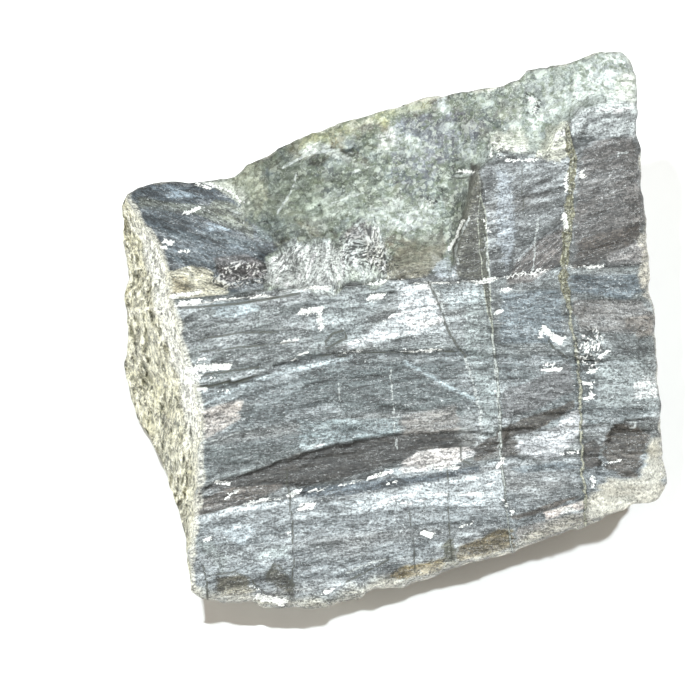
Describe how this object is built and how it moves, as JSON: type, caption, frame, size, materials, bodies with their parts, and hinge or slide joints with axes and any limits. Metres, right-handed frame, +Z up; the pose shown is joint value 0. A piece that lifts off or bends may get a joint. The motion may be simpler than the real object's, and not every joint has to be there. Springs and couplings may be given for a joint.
{
  "type": "rough labradorite",
  "caption": "Wedge-shaped lump of rough labradorite feldspar with a leaning, ledged cleavage face, a rough crown and a flat spot to rest on.",
  "frame": {"origin": "centre of the lump's bounding box, on the surface it rests on", "axes": "+Z up from the resting surface, +X to the right along the cleavage face, +Y from the low front edge towards the tall back"},
  "size_m": [0.06, 0.058, 0.0303],
  "materials": {
    "feldspar": "satin cleavage faces with rough broken sides"
  },
  "bodies": {
    "root": {"labradorite": "feldspar"}
  },
  "joints": []
}
